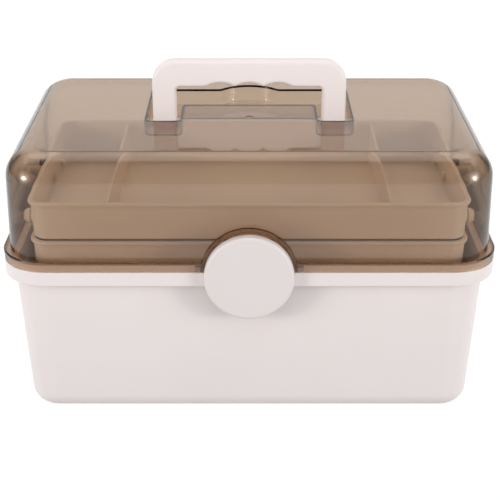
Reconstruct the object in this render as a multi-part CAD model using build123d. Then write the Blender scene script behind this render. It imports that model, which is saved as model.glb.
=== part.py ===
"""Lidded medicine box: a white tub, a tinted clear lid, lift-up trays, a carry handle and a clasp.

Millimetres, +Z up, origin on the floor under the middle of the box, latch towards -Y.
"""

import math
import os

from build123d import *

# Overall form
box_width = 330.0
box_depth = 203.5
base_height = 114.2
lid_height = 75.5
flange_corner_radius = 31.0
seam_gap = 0.3
cut_overrun = 1.0

# Base tub
base_wall = 2.5
base_floor = 3.0
base_draft = 2.75
base_bottom_fillet = 13.0
rim_overhang = 6.3
rim_height = 10.2
rim_skirt = 2.2
rim_plate = 2.4
rim_edge_fillet = 0.9
lip_thickness = 1.8
lip_height = 4.2
lip_clearance = 0.5
lip_gap_width = 71.0
foot_recess_depth = 0.8
foot_ring_width = 7.0
foot_recess_corner = 8.0

# Lid cover
lid_wall = 1.9
lid_draft = 1.5
lid_top_fillet = 19.0
flange_overhang = 4.4
flange_height = 6.9
flange_wall = 1.8
flange_edge_fillet = 0.8
gate_mark_y = -11.3
gate_mark_radius = 2.8
gate_mark_depth = 0.4

# Handle recess in the lid
recess_depth = 11.2
recess_wall = 1.5
recess_half_width = 71.1
recess_leg_width = 23.5
recess_front = -19.2
recess_back = 51.9
recess_corner_radius = 4.0
recess_foot_radius = 2.6
recess_channel_gap = 0.6
scoop_radius = 26.0
scoop_y = 36.2

# Carry handle
handle_half_width = 66.3
handle_leg_width = 16.3
handle_thickness = 10.0
handle_bar_height = 18.5
handle_reach = 47.6
handle_corner_radius = 16.0
handle_inner_radius = 2.8
handle_edge_fillet = 2.4
handle_front_gap = 1.5
handle_floor_gap = 0.3
scallop_depth = 2.8
scallop_pitch = 19.7
scallop_steps = (-1, 0, 1)
handle_pin_radius = 2.0

# Round clasp on the front
latch_radius = 29.5
latch_drop = 1.7
latch_stand_out = 6.5
latch_rim_gap = 0.9
latch_wall = 1.6
latch_edge_fillet = 2.0
latch_pivot_drop = 6.0
latch_pivot_radius = 2.0
latch_pivot_gap = 0.45
latch_pin_radius = 1.0
latch_lug_inner = 6.0
latch_lug_width = 3.0
latch_lug_gap = 0.4
latch_lug_height = 6.0
latch_tongue_width = 18.0
latch_tongue_height = 3.0
latch_catch_gap = 0.35
catch_height = 0.55
catch_radius = 1.4
arch_gap = 0.6
arch_wall = 1.9

# Rear hinge
knuckle_radius = 3.0
knuckle_gap = 0.5
knuckle_side_gap = 0.4
base_knuckle_width = 10.0
lid_knuckle_width = 16.0
hinge_spread = 184.0
hinge_drop = 5.2
hinge_pin_radius = 1.25

# Trays
arm_space = 9.9
tray_front_gap = 16.75
tray_back_gap = 25.25
tray_bead = 1.5
tray_bead_height = 2.6
tray_wall = 1.6
tray_floor = 1.6
tray_draft = 2.0
tray_corner_radius = 12.0
upper_tray_fillet = 2.8
lower_tray_fillet = 2.2
upper_tray_height = 27.2
lower_tray_height = 20.0
tray_stack_gap = 0.4
lower_tray_sink = 5.7
upper_divider_thickness = 1.6
lower_divider_thickness = 1.4
divider_drop = 2.5
upper_divider_spacing = 188.0
lower_divider_x = 0.0

# Swing arms and their rivets
arm_reach = 60.0
arm_rise = 30.0
arm_width = 10.0
arm_thickness = 2.4
front_pivot_inset = 21.0
rear_pivot_inset = 10.5
tray_boss_radius = 4.4
tray_boss_stand = 0.7
tray_boss_inner_stand = 1.5
base_boss_radius = 5.0
lid_boss_radius = 4.5
stack_gap = 0.25
rivet_radius = 2.0
rivet_head_radius = 4.0
rivet_head_height = 1.2
rivet_grip = 4.5
running_clearance = 0.05
seat_clearance = 0.02

# Places worked out from the sizes above
half_width = box_width / 2
half_depth = box_depth / 2
base_slope = math.tan(math.radians(base_draft))
lid_slope = math.tan(math.radians(lid_draft))
tray_slope = math.tan(math.radians(tray_draft))
lid_foot = base_height + seam_gap
flange_top = lid_foot + flange_height
lid_top = lid_foot + lid_height
lip_inset = flange_wall + lip_clearance

hinge_y = half_depth + knuckle_gap + knuckle_radius
hinge_z = base_height - hinge_drop
half_rise = arm_rise / 2
half_reach = arm_reach / 2
lid_link_y = hinge_y - arm_reach
upper_pivot_z = hinge_z + arm_rise
lower_pivot_z = hinge_z + half_rise
sides = {"left": -1, "right": 1}

base_inner_x = half_width - rim_overhang - base_wall - hinge_drop * base_slope
tray_half_width = base_inner_x - arm_space
tray_body_half_width = tray_half_width - tray_bead
tray_front = -half_depth + tray_front_gap
tray_back = half_depth - tray_back_gap
tray_depth = tray_back - tray_front
tray_middle_y = (tray_front + tray_back) / 2
lower_tray_z = base_height - lower_tray_sink
upper_tray_z = lower_tray_z + lower_tray_height + tray_stack_gap
front_pivot_y = tray_front + front_pivot_inset + arm_reach
rear_pivot_y = tray_back - rear_pivot_inset
arm_pivots_y = {"front": front_pivot_y, "rear": rear_pivot_y}

tray_boss_face = tray_half_width + tray_boss_stand
arm_inner = tray_boss_face + stack_gap
arm_outer = arm_inner + arm_thickness
base_boss_face = arm_outer + stack_gap
tray_boss_inner = tray_body_half_width - tray_wall - tray_boss_inner_stand

recess_floor = lid_top - recess_depth
handle_y = recess_front + handle_front_gap + handle_thickness / 2
handle_z = recess_floor + handle_floor_gap + handle_thickness / 2
handle_top = handle_z + handle_reach
bar_underside = handle_top - handle_bar_height
recess_channel_front = handle_y + handle_reach - handle_bar_height - recess_channel_gap

latch_z = base_height - latch_drop
latch_front = -half_depth - latch_stand_out
latch_back = -half_depth - latch_rim_gap
latch_inner_face = latch_front + latch_wall
latch_pivot_y = latch_inner_face + latch_pivot_gap + latch_pivot_radius
latch_pivot_z = latch_z + latch_radius - latch_pivot_drop
dish_floor = -half_depth + flange_overhang
arch_inner_radius = latch_radius + arch_gap
arch_outer_radius = arch_inner_radius + arch_wall


def outline(z, inset):
    """Rounded plan of the box at height z, drawn in by the given amount all round."""
    width = box_width - 2 * inset
    depth = box_depth - 2 * inset
    return Pos(0, 0, z) * RectangleRounded(width, depth, flange_corner_radius - inset)


def straight_block(z_low, z_high, inset):
    """Upright block on the box plan between two heights."""
    return extrude(outline(z_low, inset), z_high - z_low)


def tapered_block(z_low, z_high, inset_low, inset_high):
    """Block on the box plan whose walls lean from one inset to another."""
    return loft([outline(z_low, inset_low), outline(z_high, inset_high)], ruled=True)


def box_between(x_low, x_high, y_low, y_high, z_low, z_high):
    """Box given by its lowest and highest corners."""
    size = Box(x_high - x_low, y_high - y_low, z_high - z_low)
    return Pos((x_low + x_high) / 2, (y_low + y_high) / 2, (z_low + z_high) / 2) * size


def rod(x_low, x_high, y, z, radius):
    """Round bar along X."""
    bar = Rot(0, 90, 0) * Cylinder(radius, abs(x_high - x_low))
    return Pos((x_low + x_high) / 2, y, z) * bar


def round_plate(y_low, y_high, z, radius):
    """Disc whose axis runs along Y, centred on the middle of the box."""
    disc = Rot(90, 0, 0) * Cylinder(radius, y_high - y_low)
    return Pos(0, (y_low + y_high) / 2, z) * disc


def top_edges(solid):
    """Edges of the highest flat face."""
    return solid.faces().sort_by(Axis.Z)[-1].edges()


def bottom_edges(solid):
    """Edges of the lowest flat face."""
    return solid.faces().sort_by(Axis.Z)[0].edges()


def base_inset(z):
    """How far the tub's outer wall stands in from the rim's outline at height z."""
    return rim_overhang + (base_height - z) * base_slope


def lid_inset(z):
    """How far the lid's outer wall stands in from the flange's outline at height z."""
    return flange_overhang + (z - flange_top) * lid_slope


def make_rim():
    """Outward rim: a flat plate with a skirt turned down from its edge."""
    rim_foot = base_height - rim_height
    band = straight_block(rim_foot, base_height, 0)
    band = fillet(top_edges(band) + bottom_edges(band), rim_edge_fillet)
    hollow = straight_block(rim_foot - cut_overrun, base_height - rim_plate, rim_skirt)
    return band - hollow


def make_lip():
    """Raised lip that the lid's flange drops over, left out behind the clasp."""
    lip_top = base_height + lip_height
    lip_foot = base_height - rim_plate / 2
    lip = straight_block(lip_foot, lip_top, lip_inset)
    lip -= straight_block(lip_foot - cut_overrun, lip_top + cut_overrun, lip_inset + lip_thickness)
    half_gap = lip_gap_width / 2
    gap = box_between(-half_gap, half_gap, -half_depth, -half_depth + rim_overhang + base_wall,
                      base_height, lip_top + cut_overrun)
    return lip - gap


def make_base_knuckles():
    """Rear knuckles in two groups, each with room for a lid knuckle in the middle."""
    knuckles = Part()
    inner = lid_knuckle_width / 2 + knuckle_side_gap
    outer = inner + base_knuckle_width
    for side in sides.values():
        centre = side * hinge_spread / 2
        for end in sides.values():
            x_low, x_high = sorted((centre + end * inner, centre + end * outer))
            knuckles += rod(x_low, x_high, hinge_y, hinge_z, knuckle_radius)
            knuckles += box_between(x_low, x_high, half_depth - rim_skirt / 2, hinge_y,
                                    hinge_z - knuckle_radius, hinge_z + knuckle_radius)
            bore = hinge_pin_radius + seat_clearance
            knuckles -= rod(x_low - cut_overrun, x_high + cut_overrun, hinge_y, hinge_z, bore)
    return knuckles


def make_base_tub():
    """Tapered tub with a rim, a lip for the lid, hinge knuckles, arm bosses and the clasp's catch."""
    tub = tapered_block(0, base_height, base_inset(0), base_inset(base_height))
    tub = fillet(bottom_edges(tub), base_bottom_fillet)
    cavity_top = base_height + cut_overrun
    cavity = tapered_block(base_floor, cavity_top, base_inset(base_floor) + base_wall,
                           base_inset(cavity_top) + base_wall)
    cavity = fillet(bottom_edges(cavity), base_bottom_fillet - base_wall)
    tub = tub + make_rim() - cavity + make_lip() + make_base_knuckles()
    foot_inset = base_inset(0) + base_bottom_fillet + foot_ring_width
    foot = RectangleRounded(box_width - 2 * foot_inset, box_depth - 2 * foot_inset, foot_recess_corner)
    tub -= extrude(foot, foot_recess_depth)
    for side in sides.values():
        for pivot_y in arm_pivots_y.values():
            wall_x = base_inner_x + base_wall / 2
            tub += rod(side * base_boss_face, side * wall_x, pivot_y, hinge_z, base_boss_radius)
            bore_end = base_boss_face + rivet_grip
            bore = rivet_radius + seat_clearance
            tub -= rod(side * arm_inner, side * bore_end, pivot_y, hinge_z, bore)
    half_tongue = latch_tongue_width / 2
    catch_axis_y = -half_depth - catch_height + catch_radius
    catch_z = base_height - rim_height / 2
    tub += rod(-half_tongue, half_tongue, catch_axis_y, catch_z, catch_radius)
    return tub


def make_lid_shell():
    """Domed cover with an outward flange and a skirt round its foot."""
    body = tapered_block(lid_foot, lid_top, lid_inset(lid_foot), lid_inset(lid_top))
    body = fillet(top_edges(body), lid_top_fillet)
    flange = straight_block(lid_foot, flange_top, 0)
    flange = fillet(top_edges(flange), flange_edge_fillet)
    inner_foot = lid_foot - cut_overrun
    inner_top = lid_top - lid_wall
    hollow = tapered_block(inner_foot, inner_top, lid_inset(inner_foot) + lid_wall,
                           lid_inset(inner_top) + lid_wall)
    hollow = fillet(top_edges(hollow), lid_top_fillet - lid_wall)
    skirt_hollow = straight_block(inner_foot, flange_top - flange_wall, flange_wall)
    return body + flange - hollow - skirt_hollow


def recess_plan(grow):
    """Plan of the handle recess: a channel for the bar, two leg pockets and a round finger scoop."""
    half = recess_half_width + grow
    front = recess_front - grow
    back = recess_back + grow
    island_half = recess_half_width - recess_leg_width - grow
    island_back = recess_channel_front - grow
    plan = Pos(0, (front + back) / 2) * Rectangle(2 * half, back - front)
    plan += Pos(0, scoop_y) * Circle(scoop_radius + grow)
    island_front = front - cut_overrun
    island = Pos(0, (island_front + island_back) / 2)
    plan -= island * Rectangle(2 * island_half, island_back - island_front)
    return fillet(plan.vertices(), recess_corner_radius)


def recess_block(z_low, z_high, grow, foot_radius):
    """Upright block on the recess plan with a rounded foot."""
    block = extrude(Pos(0, 0, z_low) * recess_plan(grow), z_high - z_low)
    return fillet(bottom_edges(block), foot_radius)


def add_handle_recess(lid):
    """Sunken recess for the handle, with holes for its pins."""
    inner_foot_radius = recess_foot_radius - recess_wall
    lid += recess_block(recess_floor - recess_wall, lid_top - lid_wall / 2, recess_wall, recess_foot_radius)
    lid -= recess_block(recess_floor, lid_top + cut_overrun, 0, inner_foot_radius)
    for side in sides.values():
        pin_start, pin_end = handle_pin_ends()
        bore = handle_pin_radius + seat_clearance
        lid -= rod(side * pin_start, side * pin_end, handle_y, handle_z, bore)
    return lid


def add_gate_mark(lid):
    """Shallow round dimple where the moulding's gate was."""
    mark = extrude(Pos(0, gate_mark_y, lid_top) * Circle(gate_mark_radius), -gate_mark_depth)
    return lid - mark


def handle_pin_ends():
    """Inner and outer ends of a handle pin, flush with the outsides of the leg pocket's walls."""
    return recess_half_width - recess_leg_width - recess_wall, recess_half_width + recess_wall


def add_latch_dish(lid):
    """Arch over the clasp, the flat dish behind it and the two hinge lugs."""
    wall_back = dish_floor + lid_wall
    above = box_between(-half_width, half_width, -box_depth, box_depth, lid_foot, lid_top)
    arch = round_plate(-half_depth, wall_back, latch_z, arch_outer_radius)
    lid += arch & above
    lid -= round_plate(-half_depth - cut_overrun, dish_floor, latch_z, arch_inner_radius)
    behind = round_plate(wall_back, wall_back + flange_overhang, latch_z, arch_outer_radius)
    lid -= behind & above
    for side in sides.values():
        x_low, x_high = sorted((side * latch_lug_inner, side * (latch_lug_inner + latch_lug_width)))
        lid += rod(x_low, x_high, latch_pivot_y, latch_pivot_z, latch_pivot_radius)
        lid += box_between(x_low, x_high, latch_pivot_y, dish_floor + lid_wall / 2,
                           latch_pivot_z - latch_lug_height, latch_pivot_z)
        bore = latch_pin_radius + seat_clearance
        lid -= rod(x_low - cut_overrun, x_high + cut_overrun, latch_pivot_y, latch_pivot_z, bore)
    return lid


def add_lid_knuckles(lid):
    """Two straps that reach down behind the rim to the hinge axis."""
    strap_back = hinge_y + knuckle_radius
    strap_front = hinge_y - knuckle_radius
    strap_top = flange_top - flange_edge_fillet
    for side in sides.values():
        centre = side * hinge_spread / 2
        x_low = centre - lid_knuckle_width / 2
        x_high = centre + lid_knuckle_width / 2
        lid += rod(x_low, x_high, hinge_y, hinge_z, knuckle_radius)
        lid += box_between(x_low, x_high, strap_front, strap_back, hinge_z, strap_top)
        lid += box_between(x_low, x_high, half_depth - flange_wall / 2, strap_back, lid_foot, strap_top)
        bore = hinge_pin_radius + running_clearance
        lid -= rod(x_low - cut_overrun, x_high + cut_overrun, hinge_y, hinge_z, bore)
    return lid


def add_lid_link_bosses(lid):
    """Round bosses on the end walls that carry the pins to the upper tray."""
    wall_x = half_width - lid_inset(upper_pivot_z) - lid_wall / 2
    for side in sides.values():
        lid += rod(side * arm_inner, side * wall_x, lid_link_y, upper_pivot_z, lid_boss_radius)
        bore_end = arm_inner + rivet_grip
        bore = rivet_radius + seat_clearance
        lid -= rod(side * tray_boss_face, side * bore_end, lid_link_y, upper_pivot_z, bore)
    return lid


def make_lid_cover():
    """The whole lid moulding."""
    lid = make_lid_shell()
    lid = add_handle_recess(lid)
    lid = add_gate_mark(lid)
    lid = add_latch_dish(lid)
    lid = add_lid_knuckles(lid)
    return add_lid_link_bosses(lid)


def make_carry_handle():
    """U-shaped bail with rounded edges, three finger scallops and pin bores through its feet."""
    leg_inner = handle_half_width - handle_leg_width
    foot_z = handle_z - handle_thickness / 2
    height = handle_top - foot_z
    frame = Pos(0, (foot_z + handle_top) / 2) * Rectangle(2 * handle_half_width, height)
    frame = fillet(frame.vertices().group_by(Axis.Y)[-1], handle_corner_radius)
    window_foot = foot_z - cut_overrun
    window = Pos(0, (window_foot + bar_underside) / 2)
    window = window * Rectangle(2 * leg_inner, bar_underside - window_foot)
    scallop_radius = (scallop_pitch**2 / 4 + scallop_depth**2) / (2 * scallop_depth)
    for step in scallop_steps:
        scallop_z = bar_underside + scallop_depth - scallop_radius
        window += Pos(step * scallop_pitch, scallop_z) * Circle(scallop_radius)
    window = fillet(window.vertices().group_by(Axis.Y)[-1], handle_inner_radius)
    handle = extrude(Plane.XZ * (frame - window), handle_thickness / 2, both=True)
    face_edges = handle.faces().filter_by(Axis.Y).edges()
    rounded = [edge for edge in face_edges if edge.center().Z > handle_z]
    handle = fillet(rounded, handle_edge_fillet)
    handle = Pos(0, handle_y, 0) * handle
    keep = rod(-half_width, half_width, handle_y, handle_z, handle_thickness / 2)
    keep += box_between(-half_width, half_width, handle_y - handle_thickness, handle_y + handle_thickness,
                        handle_z, handle_top + cut_overrun)
    handle &= keep
    for side in sides.values():
        bore = handle_pin_radius + running_clearance
        pin_start, pin_end = handle_pin_ends()
        handle -= rod(side * pin_start, side * pin_end, handle_y, handle_z, bore)
    return handle


def make_handle_pin(side):
    """Plain steel pin through one leg pocket."""
    pin_start, pin_end = handle_pin_ends()
    return rod(side * pin_start, side * pin_end, handle_y, handle_z, handle_pin_radius)


def make_latch_button():
    """Hollow round clasp with a hinge barrel near its top and a snap tongue behind its middle."""
    cup = round_plate(latch_front, latch_back, latch_z, latch_radius)
    front_edges = cup.faces().sort_by(Axis.Y)[0].edges()
    cup = fillet(front_edges, latch_edge_fillet)
    cup -= round_plate(latch_inner_face, latch_back + cut_overrun, latch_z, latch_radius - latch_wall)
    half_barrel = latch_lug_inner - latch_lug_gap
    cup += rod(-half_barrel, half_barrel, latch_pivot_y, latch_pivot_z, latch_pivot_radius)
    cup += box_between(-half_barrel, half_barrel, latch_inner_face - latch_wall / 2, latch_pivot_y,
                       latch_pivot_z - latch_pivot_radius, latch_pivot_z + latch_pivot_radius)
    bore = latch_pin_radius + running_clearance
    cup -= rod(-half_barrel - cut_overrun, half_barrel + cut_overrun, latch_pivot_y, latch_pivot_z, bore)
    half_tongue = latch_tongue_width / 2
    tongue_top = base_height - rim_height / 2 - catch_radius
    tongue_nose = -half_depth - catch_height - latch_catch_gap
    cup += box_between(-half_tongue, half_tongue, latch_inner_face - latch_wall / 2, tongue_nose,
                       tongue_top - latch_tongue_height, tongue_top)
    return cup


def make_latch_hinge_pin():
    """Thin steel pin through the lid's lugs and the clasp's barrel."""
    end = latch_lug_inner + latch_lug_width
    return rod(-end, end, latch_pivot_y, latch_pivot_z, latch_pin_radius)


def make_lid_hinge_pin(side):
    """Steel pin through one group of rear knuckles."""
    centre = side * hinge_spread / 2
    half_length = lid_knuckle_width / 2 + knuckle_side_gap + base_knuckle_width
    return rod(centre - half_length, centre + half_length, hinge_y, hinge_z, hinge_pin_radius)


def tray_plan(z, inset):
    """Rounded plan of a tray at height z, drawn in from the outside of its rim bead."""
    width = 2 * (tray_half_width - inset)
    depth = tray_depth - 2 * inset
    return Pos(0, tray_middle_y, z) * RectangleRounded(width, depth, tray_corner_radius - inset)


def make_tray(z_low, height, foot_radius, dividers, pivots):
    """Open tray with a rim bead, upright dividers and pivot bosses on both end walls."""
    z_high = z_low + height
    inset_low = tray_bead + height * tray_slope
    body = loft([tray_plan(z_low, inset_low), tray_plan(z_high, tray_bead)], ruled=True)
    body = fillet(bottom_edges(body), foot_radius)
    cavity_low = z_low + tray_floor
    cavity_foot = tray_plan(cavity_low, inset_low + tray_wall)
    cavity = loft([cavity_foot, tray_plan(z_high, tray_bead + tray_wall)], ruled=True)
    cavity = fillet(bottom_edges(cavity), foot_radius - tray_wall)
    bead = extrude(tray_plan(z_high - tray_bead_height, 0), tray_bead_height)
    bead = fillet(top_edges(bead) + bottom_edges(bead), tray_bead / 2)
    bead -= extrude(tray_plan(z_high - tray_bead_height, tray_bead + tray_wall / 2), tray_bead_height)
    tray = body - cavity + bead
    for x, thickness in dividers:
        half = thickness / 2
        wall = box_between(x - half, x + half, tray_front, tray_back, z_low, z_high - divider_drop)
        tray += wall & body
    bore_start = tray_boss_inner - cut_overrun
    bore_end = tray_boss_face + cut_overrun
    for side in sides.values():
        for pivot_y, pivot_z, bore in pivots:
            tray += rod(side * tray_boss_inner, side * tray_boss_face, pivot_y, pivot_z, tray_boss_radius)
            tray -= rod(side * bore_start, side * bore_end, pivot_y, pivot_z, bore)
    return tray


def make_upper_tray():
    """Upper tray, carried by both pairs of arms and pulled along by the lid."""
    seat = rivet_radius + seat_clearance
    pivots = [(pivot_y - arm_reach, upper_pivot_z, seat) for pivot_y in arm_pivots_y.values()]
    pivots.append((lid_link_y, upper_pivot_z, rivet_radius + running_clearance))
    dividers = [(side * upper_divider_spacing / 2, upper_divider_thickness) for side in sides.values()]
    return make_tray(upper_tray_z, upper_tray_height, upper_tray_fillet, dividers, pivots)


def make_lower_tray():
    """Lower tray, carried by the middle of both pairs of arms."""
    seat = rivet_radius + seat_clearance
    pivots = [(pivot_y - half_reach, lower_pivot_z, seat) for pivot_y in arm_pivots_y.values()]
    dividers = [(lower_divider_x, lower_divider_thickness)]
    return make_tray(lower_tray_z, lower_tray_height, lower_tray_fillet, dividers, pivots)


def make_arm(side, pivot_y):
    """Flat bar with three bores: base, lower tray and upper tray."""
    length = math.hypot(arm_reach, arm_rise)
    lean = math.degrees(math.atan2(arm_rise, -arm_reach))
    middle = Pos(pivot_y - half_reach, lower_pivot_z)
    bar = middle * (Rot(0, 0, lean) * SlotCenterToCenter(length, arm_width))
    x_low = min(side * arm_inner, side * arm_outer)
    arm = extrude(Plane.YZ.offset(x_low) * bar, arm_thickness)
    bore = rivet_radius + running_clearance
    for share in (0, half_reach / arm_reach, 1):
        y = pivot_y - share * arm_reach
        z = hinge_z + share * arm_rise
        arm -= rod(side * (arm_inner - cut_overrun), side * (arm_outer + cut_overrun), y, z, bore)
    return arm


def make_rivet(side, head_x, tip_x, y, z):
    """Round-headed rivet whose shank runs from the head's face to the tip."""
    towards_tip = 1 if tip_x > head_x else -1
    head_back = head_x - towards_tip * rivet_head_height
    head = rod(side * head_back, side * head_x, y, z, rivet_head_radius)
    return head + rod(side * head_x, side * tip_x, y, z, rivet_radius)


def make_base_arm_rivets():
    """Rivets through the arms into the base's bosses."""
    return [make_rivet(side, arm_inner - stack_gap, base_boss_face + rivet_grip, pivot_y, hinge_z)
            for side in sides.values() for pivot_y in arm_pivots_y.values()]


def make_tray_rivets(reach, z):
    """Rivets through the arms into a tray's end walls, clinched inside."""
    rivets = []
    clinch_start = tray_boss_inner - stack_gap
    clinch_end = clinch_start - rivet_head_height
    for side in sides.values():
        for pivot_y in arm_pivots_y.values():
            y = pivot_y - reach
            rivet = make_rivet(side, arm_outer + stack_gap, clinch_start, y, z)
            clinch = rod(side * clinch_end, side * clinch_start, y, z, rivet_head_radius)
            rivets.append(rivet + clinch)
    return rivets


def make_lid_tray_pin(side):
    """Headed pin from inside the upper tray into the lid's boss."""
    return make_rivet(side, tray_boss_inner - stack_gap, arm_inner + rivet_grip, lid_link_y, upper_pivot_z)


def save(name, shape):
    """Write one named piece, or a group of like pieces, to its own file."""
    solids = Compound(children=list(shape)) if isinstance(shape, list) else shape
    export_step(solids, f"parts/{name}.step")


def main():
    """Build and write every piece."""
    os.makedirs("parts", exist_ok=True)
    save("base_tub", make_base_tub())
    save("lid_cover", make_lid_cover())
    save("carry_handle", make_carry_handle())
    save("latch_button", make_latch_button())
    save("latch_hinge_pin", make_latch_hinge_pin())
    save("upper_tray", make_upper_tray())
    save("lower_tray", make_lower_tray())
    save("base_arm_rivets", make_base_arm_rivets())
    save("lower_tray_rivets", make_tray_rivets(half_reach, lower_pivot_z))
    save("upper_tray_rivets", make_tray_rivets(arm_reach, upper_pivot_z))
    for side_name, side in sides.items():
        save(f"handle_pin_{side_name}", make_handle_pin(side))
        save(f"lid_hinge_pin_{side_name}", make_lid_hinge_pin(side))
        save(f"lid_tray_pin_{side_name}", make_lid_tray_pin(side))
        for arm_name, pivot_y in arm_pivots_y.items():
            save(f"{arm_name}_arm_{side_name}", make_arm(side, pivot_y))


main()
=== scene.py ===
"""Looks for the lidded medicine box: white mouldings, a tinted clear lid, steel pins and a studio."""

import math

import bpy
import bmesh
from bpy.props import FloatProperty, FloatVectorProperty, PointerProperty
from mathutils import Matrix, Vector


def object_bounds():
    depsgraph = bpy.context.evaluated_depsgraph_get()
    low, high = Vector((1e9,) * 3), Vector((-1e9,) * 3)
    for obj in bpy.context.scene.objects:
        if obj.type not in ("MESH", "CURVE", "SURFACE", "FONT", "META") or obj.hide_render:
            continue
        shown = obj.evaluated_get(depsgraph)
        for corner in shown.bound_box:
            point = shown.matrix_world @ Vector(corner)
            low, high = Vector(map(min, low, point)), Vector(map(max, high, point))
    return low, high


bl_info = {
    "name": "Medicine Box Looks",
    "version": (1, 0, 0),
    "blender": (4, 5, 0),
    "location": "View3D > Sidebar > Medicine Box",
    "description": "Dresses the medicine box with its plastics and sets up a plain studio",
    "category": "Object",
}

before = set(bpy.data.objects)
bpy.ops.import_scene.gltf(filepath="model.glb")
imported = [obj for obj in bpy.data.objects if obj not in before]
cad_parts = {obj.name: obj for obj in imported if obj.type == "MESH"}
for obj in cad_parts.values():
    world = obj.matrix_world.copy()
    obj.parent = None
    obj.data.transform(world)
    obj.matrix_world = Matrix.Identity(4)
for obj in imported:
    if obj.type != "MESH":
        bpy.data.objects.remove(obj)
cad_low, cad_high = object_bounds()

# Noise values that carry most of a noise's spread
NOISE_LOW = 0.3
NOISE_HIGH = 0.7

# Moulded white plastic
PLASTIC_IOR = 1.49
SHADE_CELL = 0.06
SHADE_DRIFT = 0.02
SHEEN_CELL = 0.012
SHEEN_SPREAD = 0.05

# Clear plastic: height of its flow waves, and the share of light that passes a face
FLOW_DEPTH = 0.00008
FACE_PASS = 0.98

# Drawn steel
STEEL_SHADE_CELL = 0.004
STEEL_SHADE_DRIFT = 0.15
STEEL_SHINE_CELL = 0.0008
STEEL_SHINE = (0.22, 0.38)
STEEL_RING_CELL = 0.0003
STEEL_RING_DEPTH = 0.000004

# Studio table, and the camera's sensor in millimetres
TABLE_GREY = 0.25
TABLE_ROUGHNESS = 0.9
SENSOR_WIDTH = 36

# Where each lit part of the room starts and is full, along one axis of the unit direction towards it
BEHIND_FADE = (0.0, 0.16)
HORIZON_FADE = 0.02
SWEEP_SIDE_FADE = (0.8, 0.35)
NEAR_TABLE_FADE = (0.22, 0.1)
FAR_TABLE_FADE = (0.34, 0.22)
FAR_TABLE_START = (-0.39, -0.32)
OVERHEAD_FADE = (0.55, 0.8)
OVERHEAD_BACK_FADE = (-0.1, 0.06)

# Lamps: places from the middle of the box, and each ring's width and share of a softbox's power
SOFTBOX_DISTANCE = 1.3
SOFTBOX_ASIDE = 0.81
SOFTBOX_FORWARD = -0.54
SOFTBOX_UP = 0.21
SOFTBOX_RINGS = ((0.28, 0.35), (0.55, 0.35), (0.9, 0.3))
FILL_OFFSET = Vector((0, -0.55, 0.5))
FILL_WIDTH = 0.5

# Pieces by finish; each white moulding gets its own share of the one white: the handle's lighter copy is
# painted light and the clasp's darker copy is painted shade
WHITE_PAINTED_LIGHT_SHARES = {"base_tub": 1.0, "carry_handle": 1.085, "latch_button": 0.94}
TRAYS = ("upper_tray", "lower_tray")
ARMS = ("front_arm_left", "front_arm_right", "rear_arm_left", "rear_arm_right")
RIVETS = (
    "base_arm_rivets",
    "lower_tray_rivets",
    "upper_tray_rivets",
    "lid_tray_pin_left",
    "lid_tray_pin_right",
)
STEEL_PINS = (
    "handle_pin_left",
    "handle_pin_right",
    "latch_hinge_pin",
    "lid_hinge_pin_left",
    "lid_hinge_pin_right",
)


class BoxFinishes(bpy.types.PropertyGroup):
    """Colours and surface finishes of the box's plastics and pins."""

    white_colour: FloatVectorProperty(
        name="White plastic",
        description="Warm white of the tub, the handle and the clasp",
        subtype="COLOR",
        min=0,
        max=1,
        default=(0.86, 0.785, 0.772),
    )
    white_roughness: FloatProperty(
        name="White roughness",
        description="Satin finish of the white mouldings",
        subtype="FACTOR",
        min=0,
        max=1,
        default=0.42,
    )
    tray_colour: FloatVectorProperty(
        name="Tray plastic",
        description="White of the lift-up trays and their arms",
        subtype="COLOR",
        min=0,
        max=1,
        default=(0.83, 0.785, 0.755),
    )
    grain_size: FloatProperty(
        name="Grain size",
        description="Width of the fine moulded grain",
        subtype="DISTANCE",
        default=0.0009,
    )
    grain_depth: FloatProperty(
        name="Grain depth",
        description="Height of the fine moulded grain",
        subtype="DISTANCE",
        default=0.00001,
    )
    lid_tint: FloatVectorProperty(
        name="Lid tint",
        description="Colour that the clear plastic lets through",
        subtype="COLOR",
        min=0,
        max=1,
        default=(0.552, 0.311, 0.045),
    )
    lid_density: FloatProperty(
        name="Lid density",
        description="How strongly the clear plastic takes up light, per metre",
        default=330,
    )
    lid_roughness: FloatProperty(
        name="Lid roughness",
        description="Polish of the clear lid",
        subtype="FACTOR",
        min=0,
        max=1,
        default=0.035,
    )
    lid_ior: FloatProperty(
        name="Lid refraction",
        description="Refractive index of the clear plastic",
        default=1.5,
    )
    flow_size: FloatProperty(
        name="Flow wave",
        description="Width of the slow waves that moulding leaves in the clear lid",
        subtype="DISTANCE",
        default=0.045,
    )
    steel_colour: FloatVectorProperty(
        name="Steel",
        description="Colour of the hinge pins",
        subtype="COLOR",
        min=0,
        max=1,
        default=(0.56, 0.55, 0.54),
    )


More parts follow.
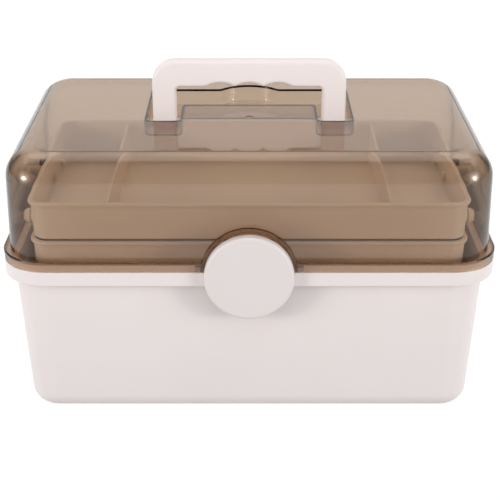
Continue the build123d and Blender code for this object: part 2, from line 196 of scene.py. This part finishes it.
class StudioSettings(bpy.types.PropertyGroup):
    """Camera, floor and lamps of the plain studio."""

    camera_distance: FloatProperty(
        name="Camera distance",
        description="From the camera to the point that it looks at",
        subtype="DISTANCE",
        default=0.85375,
    )
    camera_elevation: FloatProperty(
        name="Camera elevation",
        description="Angle of the view below the horizon",
        subtype="ANGLE",
        default=math.radians(25.63),
    )
    aim_height: FloatProperty(
        name="Aim height",
        description="Height of the point that the camera looks at",
        subtype="DISTANCE",
        default=0.08206,
    )
    lens: FloatProperty(
        name="Lens",
        description="Focal length on a 36 mm wide sensor, in millimetres",
        default=82.55,
    )
    shift: FloatProperty(
        name="Sideways shift",
        description="Small sideways shift of the frame, as a share of its width",
        default=0.0016,
    )
    floor_size: FloatProperty(
        name="Floor size",
        description="Length of the floor's sides",
        subtype="DISTANCE",
        default=12.0,
    )
    floor_glow: FloatProperty(
        name="Floor glow",
        description="Light that the lit table adds from below",
        default=0.84,
    )
    room_light: FloatProperty(
        name="Room light",
        description="Strength of the dim light that comes from all round",
        default=0.17,
    )
    sweep_light: FloatProperty(
        name="Sweep light",
        description="Strength of the bright white sweep behind the box",
        default=0.75,
    )
    top_light: FloatProperty(
        name="Top light",
        description="Strength of the soft light overhead",
        default=0.95,
    )
    table_light: FloatProperty(
        name="Table light",
        description="Strength of the lit table that shows through the lid",
        default=0.7,
    )
    table_bounce: FloatProperty(
        name="Table bounce",
        description="Strength of the light that the table throws back on to the box",
        default=0.27,
    )
    side_power: FloatProperty(
        name="Side softboxes",
        description="Power of each of the two lamps at the front left and the front right",
        subtype="POWER",
        default=9.45,
    )
    fill_power: FloatProperty(
        name="Front fill",
        description="Power of the soft lamp above the front",
        subtype="POWER",
        default=0.8,
    )


def new_material(name):
    """A named node material, with its tree and its main shader."""
    material = bpy.data.materials.new(name)
    material.use_nodes = True
    tree = material.node_tree
    return material, tree, tree.nodes["Principled BSDF"]


def add_noise(tree, cell_size, detail):
    """Noise in the box's own space, with cells of the given width."""
    place = tree.nodes.new("ShaderNodeTexCoord")
    noise = tree.nodes.new("ShaderNodeTexNoise")
    noise.inputs["Scale"].default_value = 1 / cell_size
    noise.inputs["Detail"].default_value = detail
    tree.links.new(place.outputs["Object"], noise.inputs["Vector"])
    return noise.outputs["Fac"]


def add_range(tree, value, low, high):
    """Spreads a 0 to 1 noise over the given range."""
    spread = tree.nodes.new("ShaderNodeMapRange")
    spread.inputs["From Min"].default_value = NOISE_LOW
    spread.inputs["From Max"].default_value = NOISE_HIGH
    spread.inputs["To Min"].default_value = low
    spread.inputs["To Max"].default_value = high
    tree.links.new(value, spread.inputs["Value"])
    return spread.outputs["Result"]


def add_bump(tree, height, depth, shader):
    """Raises the surface by a noise of the given depth in metres."""
    bump = tree.nodes.new("ShaderNodeBump")
    bump.inputs["Strength"].default_value = 1
    bump.inputs["Distance"].default_value = depth
    tree.links.new(height, bump.inputs["Height"])
    tree.links.new(bump.outputs["Normal"], shader.inputs["Normal"])


def add_shade_drift(tree, colour, shader, cell_size, drift):
    """Lets the colour drift a little over the surface, as moulded plastic does."""
    mix = tree.nodes.new("ShaderNodeMix")
    mix.data_type = "RGBA"
    mix.inputs["A"].default_value = (*[channel * (1 - drift) for channel in colour], 1)
    mix.inputs["B"].default_value = (*colour, 1)
    tree.links.new(add_range(tree, add_noise(tree, cell_size, 2), 0, 1), mix.inputs["Factor"])
    tree.links.new(mix.outputs["Result"], shader.inputs["Base Color"])


def moulded_plastic(name, colour, roughness, finishes):
    """Opaque satin plastic with a fine grain, an uneven sheen and a slight drift of shade."""
    material, tree, shader = new_material(name)
    add_shade_drift(tree, colour, shader, SHADE_CELL, SHADE_DRIFT)
    uneven = add_noise(tree, SHEEN_CELL, 3)
    sheen = add_range(tree, uneven, roughness - SHEEN_SPREAD, roughness + SHEEN_SPREAD)
    tree.links.new(sheen, shader.inputs["Roughness"])
    shader.inputs["IOR"].default_value = PLASTIC_IOR
    add_bump(tree, add_noise(tree, finishes.grain_size, 2), finishes.grain_depth, shader)
    return material


def clear_plastic(finishes):
    """Clear moulded plastic that takes up light along its thickness and bends reflections a little."""
    material, tree, shader = new_material("tinted_clear_plastic")
    shader.inputs["Base Color"].default_value = (1, 1, 1, 1)
    shader.inputs["Transmission Weight"].default_value = 1
    shader.inputs["Roughness"].default_value = finishes.lid_roughness
    shader.inputs["IOR"].default_value = finishes.lid_ior
    add_bump(tree, add_noise(tree, finishes.flow_size, 1), FLOW_DEPTH, shader)
    tint = tree.nodes.new("ShaderNodeVolumeAbsorption")
    tint.inputs["Color"].default_value = (*finishes.lid_tint, 1)
    tint.inputs["Density"].default_value = finishes.lid_density
    output = tree.nodes["Material Output"]
    tree.links.new(tint.outputs["Volume"], output.inputs["Volume"])
    tree.links.new(let_light_in(tree, shader.outputs["BSDF"]), output.inputs["Surface"])
    return material


def let_light_in(tree, glass):
    """Lets light from lamps and off matt surfaces pass the clear plastic unbent, to light the trays."""
    path = tree.nodes.new("ShaderNodeLightPath")
    unbent = tree.nodes.new("ShaderNodeBsdfTransparent")
    unbent.inputs["Color"].default_value = (FACE_PASS, FACE_PASS, FACE_PASS, 1)
    surface = glass
    for kind in ("Is Shadow Ray", "Is Diffuse Ray"):
        mix = tree.nodes.new("ShaderNodeMixShader")
        tree.links.new(path.outputs[kind], mix.inputs[0])
        tree.links.new(surface, mix.inputs[1])
        tree.links.new(unbent.outputs["BSDF"], mix.inputs[2])
        surface = mix.outputs["Shader"]
    return surface


def drawn_steel(finishes):
    """Bright pin steel with fine rings from drawing and a little unevenness in its shine."""
    material, tree, shader = new_material("drawn_pin_steel")
    shader.inputs["Metallic"].default_value = 1
    add_shade_drift(tree, finishes.steel_colour, shader, STEEL_SHADE_CELL, STEEL_SHADE_DRIFT)
    shine = add_range(tree, add_noise(tree, STEEL_SHINE_CELL, 3), *STEEL_SHINE)
    tree.links.new(shine, shader.inputs["Roughness"])
    add_bump(tree, add_noise(tree, STEEL_RING_CELL, 2), STEEL_RING_DEPTH, shader)
    return material


def dress(node_names, material):
    """Puts one material on every slot of the named nodes."""
    for name in node_names:
        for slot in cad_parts[name].material_slots:
            slot.material = material


class MEDICINE_BOX_OT_white_mouldings(bpy.types.Operator):
    """Dress the tub, the carry handle and the clasp in satin white plastic, with painted light as a
    lighter white on the handle and painted shade as a darker white on the clasp
    """

    bl_idname = "medicine_box.white_mouldings"
    bl_label = "White Mouldings"

    def execute(self, context):
        finishes = context.scene.box_finishes
        # Lit and shaded copies of the one white: a lighter white paints light on the handle and a darker
        # white paints shade on the clasp
        for name, shade in WHITE_PAINTED_LIGHT_SHARES.items():
            colour = [channel * shade for channel in finishes.white_colour]
            dress((name,), moulded_plastic(f"{name}_white", colour, finishes.white_roughness, finishes))
        return {"FINISHED"}


class MEDICINE_BOX_OT_trays(bpy.types.Operator):
    """Dress both trays, their arms and their rivets in tray plastic"""

    bl_idname = "medicine_box.trays"
    bl_label = "Trays and Arms"

    def execute(self, context):
        finishes = context.scene.box_finishes
        roughness = finishes.white_roughness
        plastic = moulded_plastic("satin_tray_plastic", finishes.tray_colour, roughness, finishes)
        dress(TRAYS + ARMS + RIVETS, plastic)
        return {"FINISHED"}


class MEDICINE_BOX_OT_tinted_lid(bpy.types.Operator):
    """Dress the lid in tinted clear plastic"""

    bl_idname = "medicine_box.tinted_lid"
    bl_label = "Tinted Lid"

    def execute(self, context):
        dress(("lid_cover",), clear_plastic(context.scene.box_finishes))
        return {"FINISHED"}


class MEDICINE_BOX_OT_steel_pins(bpy.types.Operator):
    """Dress the hinge, handle and clasp pins in drawn steel"""

    bl_idname = "medicine_box.steel_pins"
    bl_label = "Steel Pins"

    def execute(self, context):
        dress(STEEL_PINS, drawn_steel(context.scene.box_finishes))
        return {"FINISHED"}


def make_floor(studio):
    """Wide pale table top under the box."""
    mesh = bpy.data.meshes.new("studio_floor")
    shape = bmesh.new()
    bmesh.ops.create_grid(shape, x_segments=1, y_segments=1, size=studio.floor_size / 2)
    shape.to_mesh(mesh)
    shape.free()
    floor = bpy.data.objects.new("studio_floor", mesh)
    bpy.context.scene.collection.objects.link(floor)
    floor.location.z = cad_low.z
    material, _, shader = new_material("pale_table")
    shader.inputs["Base Color"].default_value = (TABLE_GREY, TABLE_GREY, TABLE_GREY, 1)
    shader.inputs["Roughness"].default_value = TABLE_ROUGHNESS
    shader.inputs["Specular IOR Level"].default_value = 0
    shader.inputs["Emission Color"].default_value = (1, 1, 1, 1)
    shader.inputs["Emission Strength"].default_value = studio.floor_glow
    mesh.materials.append(material)
    floor.visible_diffuse = False
    floor.visible_transmission = False


def add_fade(tree, value, start, end):
    """Smooth step from 0 at start to 1 at end."""
    fade = tree.nodes.new("ShaderNodeMapRange")
    fade.interpolation_type = "SMOOTHSTEP"
    fade.inputs["From Min"].default_value = start
    fade.inputs["From Max"].default_value = end
    tree.links.new(value, fade.inputs["Value"])
    return fade.outputs["Result"]


def add_math(tree, operation, first, second):
    """Joins two values, or a value and a plain number."""
    node = tree.nodes.new("ShaderNodeMath")
    node.operation = operation
    for socket, value in zip(node.inputs, (first, second)):
        if isinstance(value, (int, float)):
            socket.default_value = value
        else:
            tree.links.new(value, socket)
    return node.outputs["Value"]


def make_room_light(studio):
    """Dim room with a white sweep behind, a lit table and a soft light overhead, white to the camera."""
    world = bpy.data.worlds.new("studio_room")
    world.use_nodes = True
    tree = world.node_tree
    room = tree.nodes["Background"]
    place = tree.nodes.new("ShaderNodeTexCoord")
    axes = tree.nodes.new("ShaderNodeSeparateXYZ")
    tree.links.new(place.outputs["Generated"], axes.inputs["Vector"])
    sideways = add_math(tree, "ABSOLUTE", axes.outputs["X"], 0)
    behind = add_fade(tree, axes.outputs["Y"], *BEHIND_FADE)
    above = add_fade(tree, axes.outputs["Z"], -HORIZON_FADE, HORIZON_FADE)
    below = add_fade(tree, axes.outputs["Z"], HORIZON_FADE, -HORIZON_FADE)
    sweep = add_math(tree, "MULTIPLY", above, add_fade(tree, sideways, *SWEEP_SIDE_FADE))
    near = add_fade(tree, sideways, *NEAR_TABLE_FADE)
    far = add_math(
        tree, "MULTIPLY",
        add_fade(tree, sideways, *FAR_TABLE_FADE),
        add_fade(tree, axes.outputs["Z"], *FAR_TABLE_START),
    )
    table = add_math(tree, "MULTIPLY", below, add_math(tree, "MAXIMUM", near, far))
    sweep = add_math(tree, "MULTIPLY", sweep, studio.sweep_light)
    table = add_math(tree, "MULTIPLY", table, studio.table_light)
    lit = add_math(tree, "MULTIPLY", behind, add_math(tree, "ADD", sweep, table))
    overhead = add_math(
        tree, "MULTIPLY",
        add_fade(tree, axes.outputs["Z"], *OVERHEAD_FADE),
        add_fade(tree, axes.outputs["Y"], *OVERHEAD_BACK_FADE),
    )
    lit = add_math(tree, "ADD", lit, add_math(tree, "MULTIPLY", overhead, studio.top_light))
    lit = add_math(tree, "ADD", lit, studio.room_light)
    path = tree.nodes.new("ShaderNodeLightPath")
    bounce = add_math(tree, "MULTIPLY", below, path.outputs["Is Diffuse Ray"])
    lit = add_math(tree, "ADD", lit, add_math(tree, "MULTIPLY", bounce, studio.table_bounce))
    room.inputs["Color"].default_value = (1, 1, 1, 1)
    lit = add_math(tree, "MAXIMUM", lit, path.outputs["Is Camera Ray"])
    tree.links.new(lit, room.inputs["Strength"])
    bpy.context.scene.world = world


def make_softbox(name, place, target, width, power):
    """Soft round lamp that faces a point."""
    lamp = bpy.data.lights.new(name, "AREA")
    lamp.shape = "DISK"
    lamp.size = width
    lamp.energy = power
    box = bpy.data.objects.new(name, lamp)
    bpy.context.scene.collection.objects.link(box)
    box.location = place
    box.rotation_euler = (target - place).to_track_quat("-Z", "Y").to_euler()
    return box


def make_camera(studio):
    """Camera at the photographed viewing angle."""
    lens = bpy.data.cameras.new("front_camera")
    lens.lens = studio.lens
    lens.sensor_width = SENSOR_WIDTH
    lens.sensor_fit = "HORIZONTAL"
    lens.shift_x = studio.shift
    camera = bpy.data.objects.new("front_camera", lens)
    bpy.context.scene.collection.objects.link(camera)
    level = studio.camera_distance * math.cos(studio.camera_elevation)
    rise = studio.camera_distance * math.sin(studio.camera_elevation)
    camera.location = (0, -level, studio.aim_height + rise)
    camera.rotation_euler = (math.pi / 2 - studio.camera_elevation, 0, 0)
    bpy.context.scene.camera = camera


class MEDICINE_BOX_OT_studio(bpy.types.Operator):
    """Set up the pale table, the soft light and the camera"""

    bl_idname = "medicine_box.studio"
    bl_label = "Studio"

    def execute(self, context):
        studio = context.scene.box_studio
        make_floor(studio)
        make_room_light(studio)
        middle = (cad_low + cad_high) / 2
        for side in (-1, 1):
            towards = Vector((side * SOFTBOX_ASIDE, SOFTBOX_FORWARD, SOFTBOX_UP))
            lamp_place = middle + SOFTBOX_DISTANCE * towards
            for width, share in SOFTBOX_RINGS:
                make_softbox("side_softbox", lamp_place, middle, width, share * studio.side_power)
        fill = make_softbox("front_fill", middle + FILL_OFFSET, middle, FILL_WIDTH, studio.fill_power)
        fill.visible_glossy = False
        fill.visible_transmission = False
        make_camera(studio)
        context.scene.view_settings.view_transform = "Standard"
        return {"FINISHED"}


class MEDICINE_BOX_PT_looks(bpy.types.Panel):
    """Lists the steps that dress the box"""

    bl_idname = "MEDICINE_BOX_PT_looks"
    bl_label = "Medicine Box"
    bl_space_type = "VIEW_3D"
    bl_region_type = "UI"
    bl_category = "Medicine Box"

    def draw(self, context):
        for operator in OPERATORS:
            self.layout.operator(operator.bl_idname)
        for settings in (context.scene.box_finishes, context.scene.box_studio):
            for name in settings.__annotations__:
                self.layout.prop(settings, name)


OPERATORS = (
    MEDICINE_BOX_OT_white_mouldings,
    MEDICINE_BOX_OT_trays,
    MEDICINE_BOX_OT_tinted_lid,
    MEDICINE_BOX_OT_steel_pins,
    MEDICINE_BOX_OT_studio,
)
CLASSES = (BoxFinishes, StudioSettings, *OPERATORS, MEDICINE_BOX_PT_looks)


def register():
    """Registers the classes and hangs the settings on the scene."""
    for cls in CLASSES:
        bpy.utils.register_class(cls)
    bpy.types.Scene.box_finishes = PointerProperty(type=BoxFinishes)
    bpy.types.Scene.box_studio = PointerProperty(type=StudioSettings)


def unregister():
    """Takes the settings and the classes away again."""
    del bpy.types.Scene.box_studio
    del bpy.types.Scene.box_finishes
    for cls in reversed(CLASSES):
        bpy.utils.unregister_class(cls)


def main():
    """Dresses the box, piece by piece, then sets up the studio."""
    register()
    bpy.ops.medicine_box.white_mouldings()
    bpy.ops.medicine_box.trays()
    bpy.ops.medicine_box.tinted_lid()
    bpy.ops.medicine_box.steel_pins()
    bpy.ops.medicine_box.studio()


if __name__ == "__main__":
    main()
